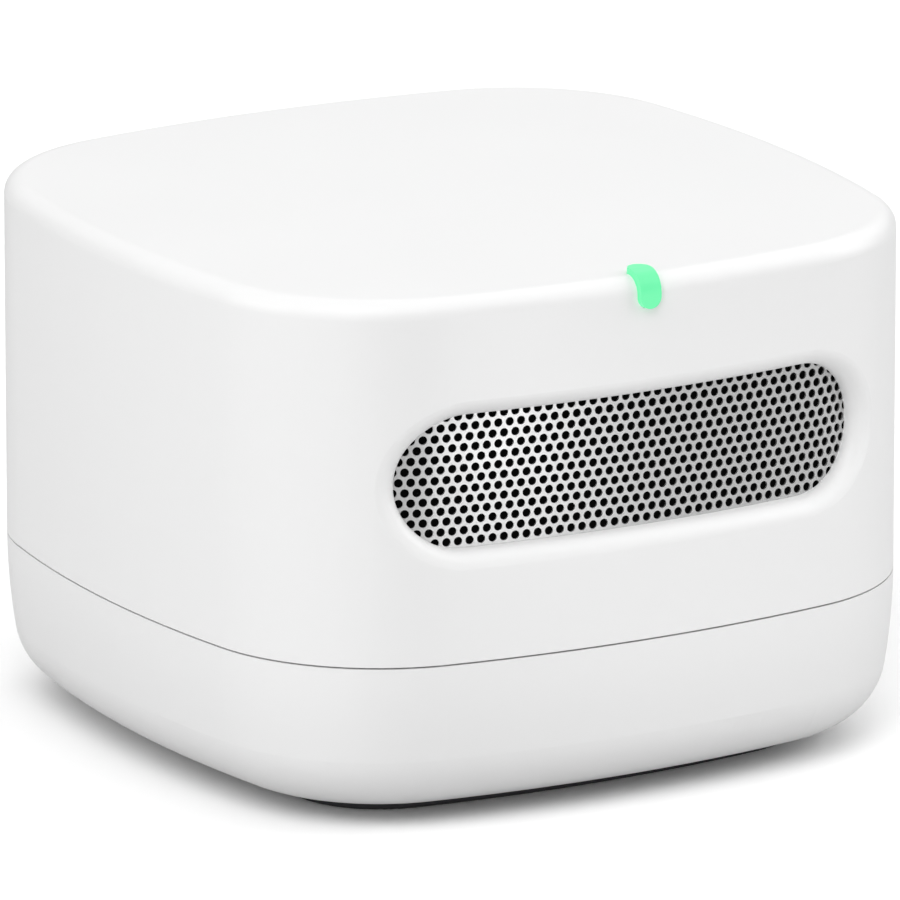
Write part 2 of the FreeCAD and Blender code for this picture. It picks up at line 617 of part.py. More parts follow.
def grille_layers(side, turn):
    """Filter and retaining frame behind one window."""
    spin = FreeCAD.Placement(V(0, 0, 0), FreeCAD.Rotation(V(0, 0, 1), turn))
    label = side.lower()
    filter_sheet = common(side + "Filter",
                          wall_ring(side + "FilterRing", "mesh_back_inset", "filter_back_inset",
                                    "sheet_length", "sheet_height"),
                          window_prism(side + "FilterPrism", "retainer_length", "retainer_height"))
    filter_sheet.Placement = spin
    node(filter_sheet, label + "_dust_filter")
    frame = common(side + "Retainer",
                   wall_ring(side + "RetainerRing", "filter_back_inset", "retainer_back_inset",
                             "sheet_length", "sheet_height"),
                   window_prism(side + "RetainerPrism", "retainer_length", "retainer_height",
                                inner=("retainer_hole_length", "retainer_hole_height")))
    frame.Placement = spin
    node(frame, label + "_grille_retainer")


def wall_point(distance, inset):
    """Plan point and outward direction at a distance along the front wall,
    measured at the given inset from the middle of the front."""
    centre, half_angle = corner_geometry()
    reach = size("side_radius") - size("casing_width") / 2
    side, corner = size("side_radius") - inset, size("corner_radius") - inset
    along = abs(distance)
    if along <= side * half_angle:
        angle = along / side
        point = V(side * math.sin(angle), reach - side * math.cos(angle), 0)
    else:
        angle = half_angle + (along - side * half_angle) / corner
        point = V(centre + corner * math.sin(angle), -centre - corner * math.cos(angle), 0)
    out = V(math.sin(angle), -math.cos(angle), 0)
    if distance < 0:
        return V(-point.x, point.y, 0), V(-out.x, out.y, 0)
    return point, out


def perforated_sheet():
    """Curved metal sheet with staggered rows of round holes.  Hundreds of
    holes square to a bent sheet are cut in one step from code."""
    ring = wall_ring("MeshRing", "mesh_inset", "mesh_back_inset", "sheet_length", "sheet_height")
    prism = window_prism("MeshPrism", "sheet_length", "sheet_height")
    doc.recompute()
    sheet_shape = ring.Shape.common(prism.Shape)
    pitch, thick = size("hole_pitch"), size("mesh_back_inset") - size("mesh_inset")
    round_end = size("window_height") / 2
    straight = size("window_length") / 2 - round_end
    drills = []
    for row in range(-int(size("hole_rows")), int(size("hole_rows")) + 1):
        shift = pitch / 2 if row % 2 else 0.0
        height = size("middle_row_z") + row * size("row_pitch")
        count = int(size("window_length") / 2 / pitch) + 1
        for step in range(-count, count + 1):
            point, out = wall_point(step * pitch + shift, size("mesh_inset"))
            beyond = math.hypot(max(abs(point.x) - straight, 0), height - size("window_z"))
            if beyond > round_end + size("hole_margin"):
                continue
            start = point - out * (2 * thick)
            start.z = height
            drills.append(Part.makeCylinder(size("hole_radius"), 3 * thick, start, out))
    return sheet_shape.cut(Part.makeCompound(drills))


def grille_meshes():
    shape = perforated_sheet()
    for side, turn in (("front", 0), ("rear", 180)):
        mesh = doc.addObject("Part::Feature", side.capitalize() + "GrilleMesh")
        mesh.Shape = shape
        mesh.Placement = FreeCAD.Placement(V(0, 0, 0), FreeCAD.Rotation(V(0, 0, 1), turn))
        node(mesh, side + "_grille_mesh")


# ------------------------------------------------------ light pipe and LED

def light_pipe():
    pipe = body("LightPipe")
    front = sketch(pipe, "FrontLeg", "XZ_Plane",
                   y="pipe_low_z + (casing_top + pipe_proud - pipe_low_z) / 2",
                   normal="casing_width / 2 - wall")
    pipe_profile(front, "pipe_width / 2", "casing_top + pipe_proud - pipe_low_z")
    pad(pipe, front, "wall + pipe_proud")
    top = sketch(pipe, "TopLeg", "XY_Plane",
                 y="(pipe_back - pipe_proud) / 2 - casing_width / 2",
                 normal="ceiling_z")
    pipe_profile(top, "pipe_width / 2", "pipe_back + pipe_proud", flip=True)
    pad(pipe, top, "casing_top + pipe_proud - ceiling_z")
    high = size("casing_top") + size("pipe_proud")
    front_y = -size("casing_width") / 2 - size("pipe_proud")
    fillet(pipe, "pipe_edge_radius",
           lambda p, e: abs(p.z - high) < 1e-6 and abs(p.y - front_y) < 1e-6)
    foot = sketch(pipe, "Foot", "XY_Plane", y="pipe_foot_depth / 2 - casing_width / 2 + wall + 0.1",
                  normal="ceiling_z - pipe_foot_height")
    rectangle(foot, "pipe_foot_width", "pipe_foot_depth")
    pad(pipe, foot, "pipe_foot_height")
    node(pipe, "light_pipe")

    top_of_board = "sensor_board_low + sensor_board_thick"
    shroud = cut("PipeShroud",
                 box("ShroudBlock", "pipe_foot_width", "shroud_depth", "shroud_height",
                     y="-led_y", z=top_of_board),
                 [box("ShroudHole", "shroud_hole_length", "shroud_hole_depth",
                      "shroud_height + 2 * overcut", y="-led_y", z=top_of_board + " - overcut")])
    node(shroud, "light_pipe_shroud")
    led = box("StatusLed", "led_length", "led_width", "led_height", y="-led_y", z=top_of_board)
    node(led, "status_led")


# ------------------------------------------------------------------ button

def button():
    y_face = "casing_width / 2 - button_recess"
    cap = fuse("ButtonCap", [
        cylinder("CapHead", "button_radius", f"{y_face} - button_flange_y", y="button_flange_y",
                 z="button_z", axis="y"),
        cylinder("CapFlange", "button_flange_radius", "button_flange_thick", y="button_flange_y",
                 z="button_z", axis="y"),
        cylinder("CapStem", "button_stem_radius", "button_flange_y - button_stem_end + 0.2",
                 y="button_stem_end", z="button_z", axis="y")])
    doc.recompute()
    rounded = doc.addObject("Part::Fillet", "ButtonCapRounded")
    rounded.Base = cap
    face = size("casing_width") / 2 - size("button_recess")
    edges = [int(name[4:]) for name in edge_names(
        cap.Shape, lambda p, e: abs(p.y - face) < 1e-6)]
    rounded.Edges = [(number, 0.3, 0.3) for number in edges]
    node(rounded, "button_cap")

    plunger = cylinder("SwitchPlunger", "plunger_radius", "button_stem_end - plunger_end",
                       y="plunger_end", z="button_z", axis="y")
    node(plunger, "switch_plunger")
    back = "button_board_y + button_board_thick"
    switch = cut("SwitchBody",
                 box("SwitchBlock", "switch_size", f"switch_front - ({back})", "switch_size",
                     y=f"({back} + switch_front) / 2", z="button_z - switch_size / 2"),
                 [cylinder("SwitchBore", "plunger_radius + plunger_gap", "2",
                           y="switch_bore_end", z="button_z", axis="y")])
    node(switch, "button_switch_body")
    board = box("ButtonBoard", "button_board_width", "button_board_thick",
                "button_board_high - button_board_low",
                y="button_board_y + button_board_thick / 2", z="button_board_low")
    node(board, "button_board")


# -------------------------------------------------------------- USB socket

def usb_outline(made, inset, name="socket"):
    """Socket section: a flat bar with its two lower corners cut off."""
    half_x, half_y = 3.75, 1.4
    points = [V(-half_x, half_y, 0), V(-half_x, -half_y + 1, 0), V(-half_x + 1, -half_y, 0),
              V(half_x - 1, -half_y, 0), V(half_x, -half_y + 1, 0), V(half_x, half_y, 0)]
    lines = [made.addGeometry(Part.LineSegment(points[i], points[(i + 1) % 6])) for i in range(6)]
    for i in range(6):
        made.addConstraint(Sketcher.Constraint("Coincident", lines[i], 2, lines[(i + 1) % 6], 1))
    made.addConstraint(Sketcher.Constraint("Vertical", lines[0]))
    made.addConstraint(Sketcher.Constraint("Vertical", lines[4]))
    made.addConstraint(Sketcher.Constraint("Symmetric", lines[0], 1, lines[4], 2, -2))
    made.addConstraint(Sketcher.Constraint("Symmetric", lines[1], 2, lines[2], 2, -2))
    made.addConstraint(Sketcher.Constraint("Horizontal", lines[0], 2, lines[4], 1))
    half = "usb_height / 2 - " + inset
    slant = "usb_chamfer - 0.4142 * (" + inset + ")"
    dimension(made, name + "_width", f"usb_width - 2 * ({inset})",
              "DistanceX", lines[0], 1, lines[4], 2, 7.5)
    dimension(made, name + "_top", half, "DistanceY", -1, 1, lines[4], 2, 1.4)
    dimension(made, name + "_low", half, "DistanceY", lines[2], 2, -1, 1, 1.4)
    dimension(made, name + "_slant_x", slant, "DistanceX", lines[2], 2, lines[3], 2, 1.0)
    dimension(made, name + "_slant_y", slant, "DistanceY", lines[3], 1, lines[3], 2, 1.0)


def usb_socket():
    back = "usb_pocket_floor - usb_depth"
    shell = body("UsbShell")
    face = sketch(shell, "Section", "XZ_Plane", y="usb_z", normal=f"-({back})")
    usb_outline(face, "0")
    pad(shell, face, "usb_depth", reverse=True)
    hollow = sketch(shell, "Mouth", "XZ_Plane", y="usb_z", normal=f"-({back} + usb_sheet)")
    usb_outline(hollow, "usb_sheet", "mouth")
    pocket(shell, hollow, "usb_depth")
    node(shell, "usb_port_shell")

    inner = "usb_pocket_floor - usb_depth + usb_sheet"
    tongue = fuse("UsbTongue", [
        box("TongueBase", "usb_width - 2 * usb_sheet - 2 * usb_chamfer - usb_gap",
            "tongue_base", "usb_height - 2 * usb_sheet",
            y=f"{inner} + tongue_base / 2", z="usb_z - usb_height / 2 + usb_sheet"),
        box("TongueBlade", "tongue_width", "tongue_length", "tongue_height",
            y=f"{inner} + tongue_base + tongue_length / 2 - usb_gap",
            z="usb_z + tongue_lift")])
    node(tongue, "usb_port_tongue")
    contacts = [box(f"Contact{i}", "contact_width", "contact_length", "contact_height",
                    x=f"{i - 2} * contact_pitch", y=f"{inner} + contact_length",
                    z="usb_z + tongue_lift - contact_height") for i in range(5)]
    node(compound("UsbContacts", contacts), "usb_contacts")


# -------------------------------------------------------------- main board

def main_board():
    board = body("MainBoard")
    plan = sketch(board, "Plan", "XY_Plane", y="-board_y", normal="board_low")
    rectangle(plan, "board_length", "board_depth")
    pad(board, plan, "board_thick")
    fillet(board, "board_corner",
           lambda p, e: abs(abs(p.x) - size("board_length") / 2) < 1e-6
           and abs(e.Length - size("board_thick")) < 1e-6)
    hole = sketch(board, "BaseScrewHole", "XY_Plane", x="boss_pitch / 2", y="boss_pitch / 2",
                  normal="board_low")
    circle(hole, "screw_hole")
    four_corners(board, [pocket(board, hole, "board_thick", reverse=True)])
    for side, x in (("Left", "-board_screw_x"), ("Right", "board_screw_x")):
        small = sketch(board, side + "ScrewHole", "XY_Plane", x=x, y="board_screw_y",
                       normal="board_low")
        circle(small, "board_screw_radius + 0.1")
        pocket(board, small, "board_thick", reverse=True)
    node(board, "main_board")

    top = "board_low + board_thick"
    node(block("wifi_board", top), "wifi_module_board")
    node(block("rf_can", top + " + wifi_board_height"), "rf_shield_can")
    antenna = fuse("WifiAntenna", [block("antenna_plate", top + " + antenna_lift"),
                                   block("antenna_feed", top), block("antenna_ground", top)])
    node(antenna, "wifi_antenna")
    node(block("processor", top), "main_processor")
    node(block("inductor", top), "power_inductor")
    capacitors = [cylinder(f"Capacitor{i}", "capacitor_radius", "capacitor_height", x=x, y=y,
                           z=top)
                  for i, (x, y) in enumerate((("-21", "6"), ("-21", "1.4"), ("10", "10")))]
    node(compound("Capacitors", capacitors), "bulk_capacitors")

    at_cell = {"x": "cell_x", "y": "cell_y"}
    cell = fuse("CoCell", [
        cylinder("CellCan", "cell_radius", "cell_height", z=top, **at_cell),
        cylinder("CellCollar", "collar_radius", "collar_height", z=top, **at_cell)])
    node(cell, "co_sensor_cell")
    node(cylinder("CoCap", "cell_cap_radius", "cell_cap_height", z=top + " + cell_height",
                  **at_cell), "co_sensor_cap")


# ----------------------------------------------------------------- chassis

def chassis():
    plate = body("InnerFrame")
    plan = sketch(plate, "Plan", "XY_Plane", normal="chassis_low")
    outline(plan, "chassis_inset")
    pad(plate, plan, "chassis_thick")
    post = sketch(plate, "Post", "XY_Plane", x="boss_pitch / 2", y="boss_pitch / 2",
                  normal="board_low + board_thick")
    circle(post, "post_radius")
    features = [pad(plate, post, "chassis_low - board_low - board_thick + 0.5")]
    pilot = sketch(plate, "PostPilot", "XY_Plane", x="boss_pitch / 2", y="boss_pitch / 2",
                   normal="board_low")
    circle(pilot, "screw_radius")
    features.append(pocket(plate, pilot, "screw_tip_z - board_low + 0.4", reverse=True))
    hole = sketch(plate, "ColumnHole", "XY_Plane", x="column_pitch / 2", y="column_pitch / 2",
                  normal="chassis_low")
    circle(hole, "screw_hole")
    features.append(pocket(plate, hole, "chassis_thick", reverse=True))
    four_corners(plate, features)

    # notch behind the button, its upright tab, air opening and cable slot
    notch = sketch(plate, "Notch", "XY_Plane", y="button_board_y + notch_width / 2",
                   normal="chassis_low")
    rectangle(notch, "notch_width", "notch_width")
    pocket(plate, notch, "chassis_thick", reverse=True)
    tab = sketch(plate, "Tab", "XY_Plane", y="button_board_y - tab_thick / 2",
                 normal="chassis_low")
    rectangle(tab, "tab_width", "tab_thick")
    pad(plate, tab, "button_board_high - chassis_low")
    air = sketch(plate, "AirOpening", "XY_Plane", x="air_x", y="air_y", normal="chassis_low")
    rectangle(air, "air_length", "air_depth")
    pocket(plate, air, "chassis_thick", reverse=True)
    slot = sketch(plate, "CableSlot", "XY_Plane", x="cable_slot_x", normal="chassis_low")
    rectangle(slot, "cable_slot_width", "cable_slot_length")
    pocket(plate, slot, "chassis_thick", reverse=True)
    node(plate, "inner_frame")


# ------------------------------------------------------------ sensor board

def sensor_board():
    board = body("SensorBoard")
    middle = "sensor_board_depth / 2 - sensor_board_front"
    plan = sketch(board, "Plan", "XY_Plane", y=middle, normal="sensor_board_low")
    rectangle(plan, "sensor_board_width", "sensor_board_depth")
    pad(board, plan, "sensor_board_thick")
    fillet(board, "sensor_board_corner",
           lambda p, e: abs(e.Length - size("sensor_board_thick")) < 1e-6)
    for number, (x, y) in enumerate(SENSOR_BOSSES):
        hole = sketch(board, f"ScrewHole{number}", "XY_Plane", x=x, y=y,
                      normal="sensor_board_low")
        circle(hole, "board_screw_radius + 0.1")
        pocket(board, hole, "sensor_board_thick", reverse=True)
    node(board, "sensor_board")

    under = "sensor_board_low"
    node(block("voc_chip", under + " - voc_chip_height"), "voc_sensor")
    node(block("humidity_chip", under + " - humidity_chip_height"),
         "humidity_temperature_sensor")

    # flat cable from the main board up to the sensor board
    connectors = [block("lower_connector", "board_low + board_thick"),
                  block("upper_connector", under + " - upper_connector_height")]
    node(compound("CableConnectors", connectors), "cable_connectors")
    cable = body("SensorCable")
    run = sketch(cable, "Run", "XZ_Plane", normal="-cable_width / 2")
    ribbon(run)
    pad(cable, run, "cable_width")
    node(cable, "sensor_cable")


def ribbon(made):
    """Side view of the flat cable: up from one connector, over to the other."""
    thick, x, end = size("cable_thick"), size("cable_slot_x"), size("cable_end_x")
    low = size("board_low") + size("board_thick") + size("connector_height")
    high = size("sensor_board_low") - size("cable_drop")
    points = [V(x - thick / 2, low, 0), V(x + thick / 2, low, 0), V(x + thick / 2, high, 0),
              V(end, high, 0), V(end, high - thick, 0), V(x - thick / 2, high - thick, 0)]
    lines = [made.addGeometry(Part.LineSegment(points[i], points[(i + 1) % 6])) for i in range(6)]
    for i in range(6):
        made.addConstraint(Sketcher.Constraint("Coincident", lines[i], 2, lines[(i + 1) % 6], 1))
        made.addConstraint(Sketcher.Constraint("Vertical" if i % 2 else "Horizontal", lines[i]))
    dimension(made, "thick_low", "cable_thick", "DistanceX", lines[0], 1, lines[0], 2, thick)
    dimension(made, "thick_high", "cable_thick", "DistanceY", lines[3], 2, lines[3], 1, thick)
    dimension(made, "run_x", "cable_slot_x - cable_thick / 2", "DistanceX", -1, 1, lines[0], 1,
              x - thick / 2)
    dimension(made, "run_low", "board_low + board_thick + connector_height",
              "DistanceY", -1, 1, lines[0], 1, low)
    dimension(made, "run_high", "sensor_board_low - cable_drop", "DistanceY", -1, 1, lines[2], 1,
              high)
    dimension(made, "run_end", "cable_end_x", "DistanceX", -1, 1, lines[2], 2, end)


# --------------------------------------------------------- particle sensor

def particle_sensor():
    low = "chassis_low + chassis_thick"
    split = f"{low} + pm_height - pm_lid_height"
    case = body("PmCase")
    plan = sketch(case, "Plan", "XY_Plane", y="pm_y", normal=low)
    rectangle(plan, "pm_width", "pm_depth")
    pad(case, plan, "pm_height - pm_lid_height")
    depth = size("pm_height") - size("pm_lid_height")
    fillet(case, "pm_edge", lambda p, e: abs(e.Length - depth) < 1e-6)
    hollow = sketch(case, "Hollow", "XY_Plane", y="pm_y", normal=low + " + pm_wall")
    rectangle(hollow, "pm_width - 2 * pm_wall", "pm_depth - 2 * pm_wall")
    pocket(case, hollow, "pm_height", reverse=True)
    inlet = sketch(case, "Inlet", "XZ_Plane", x="inlet_x", y=f"{low} + pm_axis_height",
                   normal="pm_depth / 2 - pm_y - 3")
    rectangle(inlet, "inlet_width", "inlet_height")
    pocket(case, inlet, "6", reverse=True)
    outlet = sketch(case, "Outlet", "XZ_Plane", x="fan_x", y=f"{low} + pm_axis_height",
                    normal="3 - pm_y - pm_depth / 2")
    circle(outlet, "fan_radius")
    pocket(case, outlet, "6")
    node(case, "pm_sensor_case")

    lid = body("PmLid")
    cover = sketch(lid, "Plan", "XY_Plane", y="pm_y", normal=split)
    rectangle(cover, "pm_width", "pm_depth")
    pad(lid, cover, "pm_lid_height")
    height = size("pm_lid_height")
    fillet(lid, "pm_edge", lambda p, e: abs(e.Length - height) < 1e-6)
    inside = sketch(lid, "Inside", "XY_Plane", y="pm_y", normal=split)
    rectangle(inside, "pm_width - 2 * pm_wall", "pm_depth - 2 * pm_wall")
    pocket(lid, inside, "pm_lid_height - pm_wall", reverse=True)
    node(lid, "pm_sensor_lid")

    axis_z = f"{low} + pm_axis_height"
    node(block("pm_board", low + " + pm_wall"), "pm_sensor_board")
    laser = fuse("Laser", [
        block("laser_block", f"{axis_z} - laser_block_height / 2"),
        cylinder("LaserBarrel", "barrel_radius", "barrel_length", x="laser_x", y="barrel_y",
                 z=axis_z, axis="y")])
    node(laser, "laser_module")
    node(cylinder("LaserLens", "lens_radius", "lens_length", x="laser_x",
                  y="barrel_y - lens_length", z=axis_z, axis="y"), "laser_lens")
    node(block("detector", low + " + pm_wall + pm_board_height"), "photodetector")

    ducts(axis_z)
    fan(axis_z)


def ducts(axis_z):
    """Soft foam ducts between the particle sensor and the two windows."""
    start, end = "-inlet_duct_end", "pm_y - pm_depth / 2"
    middle, length = f"({start} + {end}) / 2", f"{end} - ({start})"
    inlet = cut("InletDuct",
                box("InletFoam", "inlet_width + duct_wall", length, "inlet_height + duct_wall",
                    x="inlet_x", y=middle, z=f"{axis_z} - (inlet_height + duct_wall) / 2"),
                [box("InletHole", "inlet_width", f"{length} + 2", "inlet_height", x="inlet_x",
                     y=middle, z=f"{axis_z} - inlet_height / 2")])
    node(inlet, "inlet_duct_gasket")
    start, length = "pm_y + pm_depth / 2", "outlet_duct_end - pm_y - pm_depth / 2"
    outer = "2 * (fan_radius + duct_skin)"
    outlet = cut("OutletDuct",
                 box("OutletFoam", outer, length, outer, x="fan_x", y=f"{start} + ({length}) / 2",
                     z=f"{axis_z} - fan_radius - duct_skin"),
                 [cylinder("OutletHole", "fan_radius", f"{length} + 2", x="fan_x",
                           y=f"{start} - 1", z=axis_z, axis="y")])
    node(outlet, "outlet_duct_gasket")


def fan(axis_z):
    """Axial fan in the particle sensor: rotor, shaft and stator ring."""
    hub = cylinder("FanHub", "hub_radius", "fan_depth", x="fan_x", y="fan_y", z=axis_z, axis="y")
    blades = [hub]
    for number in range(int(size("blade_count"))):
        blades.append(fan_blade(number, axis_z))
    rotor = cut("FanImpeller", fuse("FanBlades", blades),
                [cylinder("ShaftHole", "shaft_radius", "fan_depth", x="fan_x", y="fan_y",
                          z=axis_z, axis="y")])
    node(rotor, "fan_impeller")
    shaft = cylinder("FanShaft", "shaft_radius", "fan_depth + stator_depth", x="fan_x",
                     y="fan_y - stator_depth", z=axis_z, axis="y")
    node(shaft, "fan_shaft")

    start = "fan_y - stator_depth - stator_step"
    ring = "(fan_radius + fan_gap)"
    across = f"2 * ({ring} + spider_overlap)"
    arms = [box("SpiderAcross", across, "stator_depth", "spider_width", x="fan_x",
                y=f"{start} + stator_depth / 2", z=f"{axis_z} - spider_width / 2"),
            box("SpiderUp", "spider_width", "stator_depth", across, x="fan_x",
                y=f"{start} + stator_depth / 2", z=f"{axis_z} - {ring} - spider_overlap")]
    bearing = cylinder("Bearing", "hub_radius", "stator_depth", x="fan_x", y=start, z=axis_z,
                       axis="y")
    length = "fan_depth + stator_depth + stator_step"
    tube = cut("StatorTube",
               cylinder("StatorOuter", f"{ring} + fan_ring", length, x="fan_x", y=start,
                        z=axis_z, axis="y"),
               [cylinder("StatorInner", ring, f"{length} + 2", x="fan_x", y=f"{start} - 1",
                         z=axis_z, axis="y")])
    stator = cut("FanStator", fuse("StatorSolid", [tube, bearing] + arms),
                 [cylinder("BearingBore", "shaft_radius + shaft_gap", "stator_depth + 2",
                           x="fan_x", y=f"{start} - 1", z=axis_z, axis="y")])
    node(stator, "fan_stator")


def fan_blade(number, axis_z):
    """One flat pitched blade; it starts inside the hub and clears the ring."""
    blade = doc.addObject("Part::Box", f"Blade{number}")
    chord = size("blade_chord")
    bind(blade, Length="fan_radius - blade_clearance - blade_root", Width="blade_thick",
         Height="blade_chord")
    turn = 360.0 / size("blade_count") * number
    root = size("blade_root")
    pitch = FreeCAD.Placement(V(0, 0, 0), FreeCAD.Rotation(V(1, 0, 0), size("blade_pitch")))
    centre = FreeCAD.Placement(V(root, -size("blade_thick") / 2, -chord / 2), FreeCAD.Rotation())
    upright = FreeCAD.Placement(V(0, 0, 0), FreeCAD.Rotation(V(1, 0, 0), -90))
    around = FreeCAD.Placement(V(0, 0, 0), FreeCAD.Rotation(V(0, 1, 0), turn))
    axle_z = size("chassis_low") + size("chassis_thick") + size("pm_axis_height")
    place = FreeCAD.Placement(V(size("fan_x"), size("fan_y") + size("fan_depth") / 2, axle_z),
                              FreeCAD.Rotation())
    blade.Placement = place * around * pitch * upright * centre
    return blade


# ------------------------------------------------------------------ screws

def screw(name, x, y, head_z, shank, head_radius, head_height, length, up=True):
    """A pan head screw; its shank points up or down from the head."""
    head = cylinder(name + "Head", head_radius, head_height, x=x, y=y, z=head_z)
    start = f"{head_z} + {head_height}" if up else f"{head_z} - ({length})"
    return fuse(name, [head, cylinder(name + "Shank", shank, length, x=x, y=y, z=start)])


def screws():
    corners = [(i, j) for i in ("", "-") for j in ("", "-")]
    base = [screw(f"BaseScrew{n}", f"{i}boss_pitch / 2", f"{j}boss_pitch / 2",
                  "head_pocket_top - screw_head_height", "screw_radius", "screw_head_radius",
                  "screw_head_height", "screw_tip_z - head_pocket_top")
            for n, (i, j) in enumerate(corners)]
    node(compound("BaseScrews", base), "base_screws")
    frame = [screw(f"FrameScrew{n}", f"{i}column_pitch / 2", f"{j}column_pitch / 2",
                   "chassis_low - screw_head_height", "screw_radius", "frame_head_radius",
                   "screw_head_height", "chassis_screw_length")
             for n, (i, j) in enumerate(corners)]
    node(compound("FrameScrews", frame), "frame_screws")
    board = [screw(f"BoardScrew{n}", x, "board_screw_y", "board_low + board_thick",
                   "board_screw_radius", "board_screw_head", "board_screw_head_height",
                   "board_thick + thread_tail", up=False)
             for n, x in enumerate(("board_screw_x", "-board_screw_x"))]
    node(compound("BoardScrews", board), "board_screws")
    sensor = [screw(f"SensorScrew{n}", x, y, "sensor_board_low - board_screw_head_height",
                    "board_screw_radius", "board_screw_head", "board_screw_head_height",
                    "sensor_board_thick + sensor_screw_tail")
              for n, (x, y) in enumerate(SENSOR_BOSSES)]
    node(compound("SensorScrews", sensor), "sensor_screws")


# ---------------------------------------------------------------- assembly

for build in (upper_shell, lower_shell, foot_pad, light_pipe, button, usb_socket, main_board,
              chassis, sensor_board, particle_sensor, screws, grille_meshes):
    build()
for side, turn in (("Front", 0), ("Rear", 180)):
    grille_layers(side, turn)
doc.recompute()

for item in doc.Objects:
    bad = [state for state in item.State if state in ("Invalid", "Error")]
    if bad:
        raise RuntimeError(f"{item.Name} ({item.Label}) is {bad}")
os.makedirs("parts", exist_ok=True)
for item in NODES:
    if item.Shape.isNull() or not item.Shape.isValid():
        raise RuntimeError(f"{item.Label} has no valid shape")
    item.Shape.exportStep(os.path.join("parts", item.Label + ".step"))
    print(item.Label, round(item.Shape.Volume, 2), len(item.Shape.Solids))
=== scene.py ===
import json
import math

import bpy
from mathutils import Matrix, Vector

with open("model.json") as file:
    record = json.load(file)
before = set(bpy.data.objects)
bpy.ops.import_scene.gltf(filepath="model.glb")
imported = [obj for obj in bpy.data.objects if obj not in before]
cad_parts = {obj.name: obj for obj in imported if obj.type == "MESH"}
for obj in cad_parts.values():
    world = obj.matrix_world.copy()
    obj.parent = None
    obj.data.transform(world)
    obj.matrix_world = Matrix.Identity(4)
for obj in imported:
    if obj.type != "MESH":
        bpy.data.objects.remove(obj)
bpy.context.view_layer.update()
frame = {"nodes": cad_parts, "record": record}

# A compact white air quality monitor standing on a white table.  All shapes
# come from the frame; this script gives them their finishes and adds the
# table, the studio light and the camera.  Metres, +Z up, lit front towards -Y.

MM = 0.001


# ---------------------------------------------------------------- shader helpers

def new_material(name):
    """An empty principled material: the material, its tree and its shader."""
    made = bpy.data.materials.new(name)
    made.use_nodes = True
    return made, made.node_tree, made.node_tree.nodes["Principled BSDF"]


def add_node(tree, kind, **inputs):
    """A node with values set on its sockets; an underscore stands for a space."""
    made = tree.nodes.new(kind)
    for name, value in inputs.items():
        made.inputs[name.replace("_", " ")].default_value = value
    return made


def coordinates(tree, stretch=(1, 1, 1)):
    """Object coordinates in metres, stretched along the axes."""
    source = tree.nodes.new("ShaderNodeTexCoord")
    mapping = add_node(tree, "ShaderNodeMapping", Scale=stretch)
    tree.links.new(source.outputs["Object"], mapping.inputs["Vector"])
    return mapping.outputs["Vector"]


def noise(tree, vector, feature, detail=3, roughness=0.5):
    """Noise whose features have the given size in metres."""
    made = add_node(tree, "ShaderNodeTexNoise", Scale=1 / feature, Detail=detail,
                    Roughness=roughness)
    tree.links.new(vector, made.inputs["Vector"])
    return made.outputs["Fac"]


def cells(tree, vector, feature):
    """Rounded cells of the given size in metres."""
    made = add_node(tree, "ShaderNodeTexVoronoi", Scale=1 / feature)
    tree.links.new(vector, made.inputs["Vector"])
    return made.outputs["Distance"]


def spread(tree, value, low, high):
    """Map a texture value from its usual 0.3 to 0.7 onto low to high."""
    made = add_node(tree, "ShaderNodeMapRange", From_Min=0.3, From_Max=0.7, To_Min=low,
                    To_Max=high)
    tree.links.new(value, made.inputs["Value"])
    return made.outputs["Result"]


def mix(tree, factor, first, second):
    """Two colours mixed by a texture value."""
    made = tree.nodes.new("ShaderNodeMix")
    made.data_type = "RGBA"
    made.inputs["A"].default_value = (*first, 1)
    made.inputs["B"].default_value = (*second, 1)
    tree.links.new(factor, made.inputs["Factor"])
    return made.outputs["Result"]


def bump(tree, shader, height, depth):
    """Raise the surface by a texture value, over a depth in metres."""
    made = add_node(tree, "ShaderNodeBump", Strength=1.0, Distance=depth)
    tree.links.new(height, made.inputs["Height"])
    tree.links.new(made.outputs["Normal"], shader.inputs["Normal"])


# ------------------------------------------------------------------- finishes

BLOTCH = 14 * MM           # slow change of gloss over moulded plastic
MOULDED_SPREAD = 0.03      # how far that change moves the roughness
TOOL_MARK = 0.6 * MM       # width of the fine marks on metal
METAL_SPREAD = 0.06


def moulded(name, colour, roughness, grain=0.25 * MM, depth=0.002 * MM):
    """Moulded plastic with a fine spark-eroded grain."""
    made, tree, shader = new_material(name)
    shader.inputs["Base Color"].default_value = (*colour, 1)
    vector = coordinates(tree)
    blotch = noise(tree, vector, BLOTCH)
    tree.links.new(spread(tree, blotch, roughness - MOULDED_SPREAD, roughness + MOULDED_SPREAD),
                   shader.inputs["Roughness"])
    bump(tree, shader, noise(tree, vector, grain), depth)
    return made


def metal(name, colour, roughness, stretch=(1, 1, 12)):
    """Drawn or turned metal with fine parallel marks."""
    made, tree, shader = new_material(name)
    shader.inputs["Base Color"].default_value = (*colour, 1)
    shader.inputs["Metallic"].default_value = 1.0
    vector = coordinates(tree, stretch)
    marks = noise(tree, vector, TOOL_MARK)
    tree.links.new(spread(tree, marks, roughness - METAL_SPREAD, roughness + METAL_SPREAD),
                   shader.inputs["Roughness"])
    bump(tree, shader, marks, 0.003 * MM)
    return made


def painted_sheet(name, colour):
    """Satin paint on punched sheet metal."""
    made, tree, shader = new_material(name)
    shader.inputs["Base Color"].default_value = (*colour, 1)
    shader.inputs["Metallic"].default_value = 0.85
    vector = coordinates(tree)
    tree.links.new(spread(tree, noise(tree, vector, 5 * MM), 0.36, 0.42),
                   shader.inputs["Roughness"])
    bump(tree, shader, noise(tree, vector, 0.12 * MM), 0.002 * MM)
    return made


